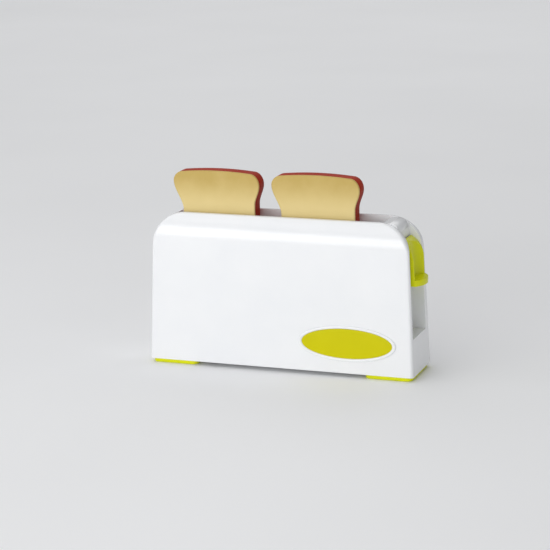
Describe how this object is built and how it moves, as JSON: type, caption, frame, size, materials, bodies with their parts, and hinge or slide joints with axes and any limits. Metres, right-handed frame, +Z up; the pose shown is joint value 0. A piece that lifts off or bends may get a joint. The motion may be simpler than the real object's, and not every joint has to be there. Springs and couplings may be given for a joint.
{
  "type": "toy toaster",
  "caption": "Toy pop-up toaster with rounded half shells, one long slot, a scoop-shaped side lever on a sprung carriage, and play bread that lifts out.",
  "frame": {"origin": "on the table, under the middle of the whole toaster's box", "axes": "+X along the toaster towards the lever, +Y from the front with the badge to the back, +Z up"},
  "size_m": [0.194, 0.0447, 0.1343],
  "materials": {
    "shell_white": "glossy white moulded plastic",
    "base_white": "satin white plastic with a fine moulded grain",
    "inner_white": "satin white plastic",
    "lime": "glossy lime green moulded plastic",
    "badge_lime": "smooth lime green plastic",
    "steel": "bright zinc plated steel",
    "rubber": "black rubber",
    "crumb": "pale cream plastic with a faint grain",
    "crust": "red brown satin plastic"
  },
  "bodies": {
    "housing": {"front_shell": "shell_white", "rear_shell": "shell_white", "lever_guide": "shell_white", "end_saddle": "shell_white", "liner_front": "shell_white", "liner_rear": "shell_white", "base_plate": "base_white", "foot_left": "lime", "foot_right": "lime", "guide_rod_left": "steel", "guide_rod_right": "steel", "return_spring_left": "steel", "return_spring_right": "steel", "stop_washers": "rubber", "shell_screws": "steel", "base_screws": "steel", "badge_border": "shell_white", "badge_plate": "badge_lime"},
    "carriage": {"carriage": "inner_white", "lever": "lime"},
    "slice_1": {"slice_1_crumb": "crumb", "slice_1_crust": "crust"},
    "slice_2": {"slice_2_crumb": "crumb", "slice_2_crust": "crust"}
  },
  "joints": [
    {"name": "lever_slide", "type": "slide", "parent": "housing", "child": "carriage", "axis": [0, 0, 1], "range_m": [-0.0345, 0], "stiffness_N_per_m": 60, "springref_m": 0.035, "deforming": ["return_spring_left", "return_spring_right"]},
    {"name": "slice_1_lift", "type": "slide", "parent": "carriage", "child": "slice_1", "axis": [0, 0, 1], "range_m": [0, 0.045]},
    {"name": "slice_2_lift", "type": "slide", "parent": "carriage", "child": "slice_2", "axis": [0, 0, 1], "range_m": [0, 0.045]}
  ]
}
